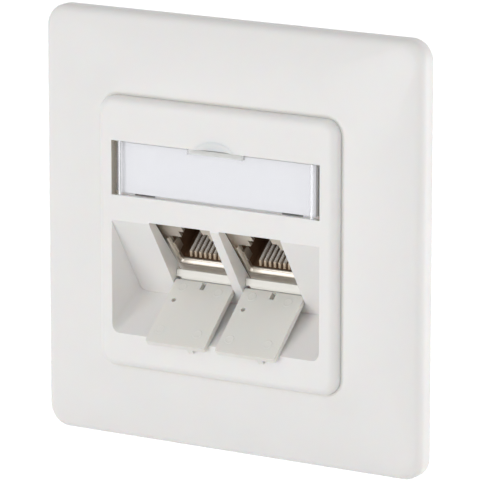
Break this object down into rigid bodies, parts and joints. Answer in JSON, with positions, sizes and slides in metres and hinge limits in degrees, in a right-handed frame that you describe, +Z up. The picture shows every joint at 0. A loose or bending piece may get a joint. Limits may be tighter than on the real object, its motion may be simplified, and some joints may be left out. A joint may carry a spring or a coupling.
{
  "type": "data wall socket",
  "caption": "Square flush data outlet with a domed cover frame, a label window and slanted shielded plug sockets behind hinged dust flaps.",
  "frame": {"origin": "middle of the cover frame on the wall plane, which is also the middle of the wall box's screw slots", "axes": "+X right, +Y into the wall, +Z up; the visible front faces -Y"},
  "size_m": [0.08, 0.0377, 0.08],
  "materials": {
    "white_plastic": "smooth satin white moulding",
    "clear_plastic": "clear moulding",
    "card_paper": "plain white card",
    "nickel_plate": "nickel-plated zinc",
    "dark_plastic": "dark moulded insert",
    "contact_metal": "gilded spring contacts",
    "ring_steel": "galvanised sheet",
    "screw_steel": "zinc-plated screws",
    "cast_zinc": "bare die casting",
    "board_laminate": "glass-fibre laminate",
    "terminal_plastic": "pale terminal moulding",
    "cover_steel": "tinned sheet"
  },
  "bodies": {
    "outlet": {"cover_frame": "white_plastic", "central_plate": "white_plastic", "label_window": "clear_plastic", "label_card": "card_paper", "support_ring": "ring_steel", "plate_screw": "screw_steel", "module_housing": "cast_zinc", "housing_screws": "screw_steel", "circuit_board": "board_laminate", "shield_cover": "cover_steel", "left_jack_shield": "nickel_plate", "left_jack_insert": "dark_plastic", "left_jack_contacts": "contact_metal", "left_terminal_block": "terminal_plastic", "left_terminal_contacts": "contact_metal", "right_jack_shield": "nickel_plate", "right_jack_insert": "dark_plastic", "right_jack_contacts": "contact_metal", "right_terminal_block": "terminal_plastic", "right_terminal_contacts": "contact_metal"},
    "left_flap": {"left_dust_flap": "white_plastic"},
    "right_flap": {"right_dust_flap": "white_plastic"}
  },
  "joints": [
    {"name": "left_flap_hinge", "type": "hinge", "parent": "outlet", "child": "left_flap", "pos_m": [-0.00745, -0.0001, -0.01001], "axis": [-1, 0, 0], "range_deg": [0, 98.6]},
    {"name": "right_flap_hinge", "type": "hinge", "parent": "outlet", "child": "right_flap", "pos_m": [0.00745, -0.0001, -0.01001], "axis": [-1, 0, 0], "range_deg": [0, 98.6]}
  ]
}
